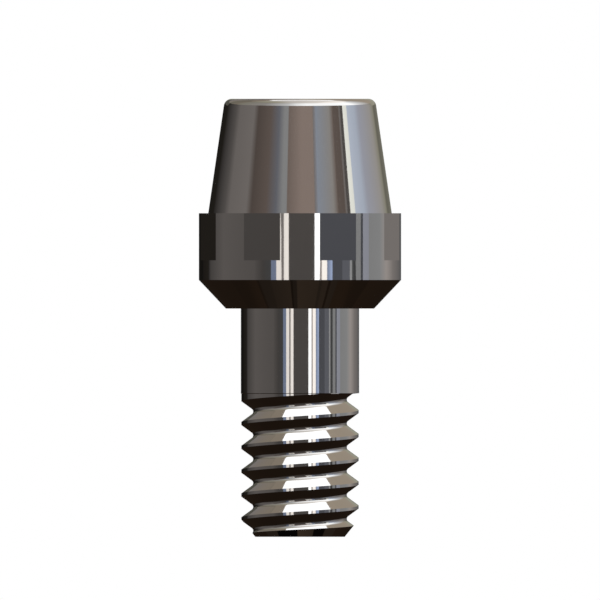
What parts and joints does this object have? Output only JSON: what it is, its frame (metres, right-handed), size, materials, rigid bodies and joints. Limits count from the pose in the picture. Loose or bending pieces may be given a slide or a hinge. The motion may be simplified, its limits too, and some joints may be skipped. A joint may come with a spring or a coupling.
{
  "type": "magnetic abutment",
  "caption": "Screw-in dental implant abutment: threaded post with plain shank, conical seat and wrench collar, carrying a sealed magnet in a conical head.",
  "frame": {"origin": "centre of the thread's flat lower end face, the lowest point of the part", "axes": "+Z along the turning axis, from the thread's end to the flat top of the head; -Y is the side that the picture shows, midway between two wrench flats"},
  "size_m": [0.0034, 0.0034, 0.0074],
  "materials": {
    "base_titanium": "polished turned titanium",
    "housing_titanium": "mirror-polished titanium",
    "magnet_metal": "ground sintered samarium-cobalt"
  },
  "bodies": {
    "root": {"threaded_base": "base_titanium", "magnet_housing": "housing_titanium", "magnet": "magnet_metal"}
  },
  "joints": []
}
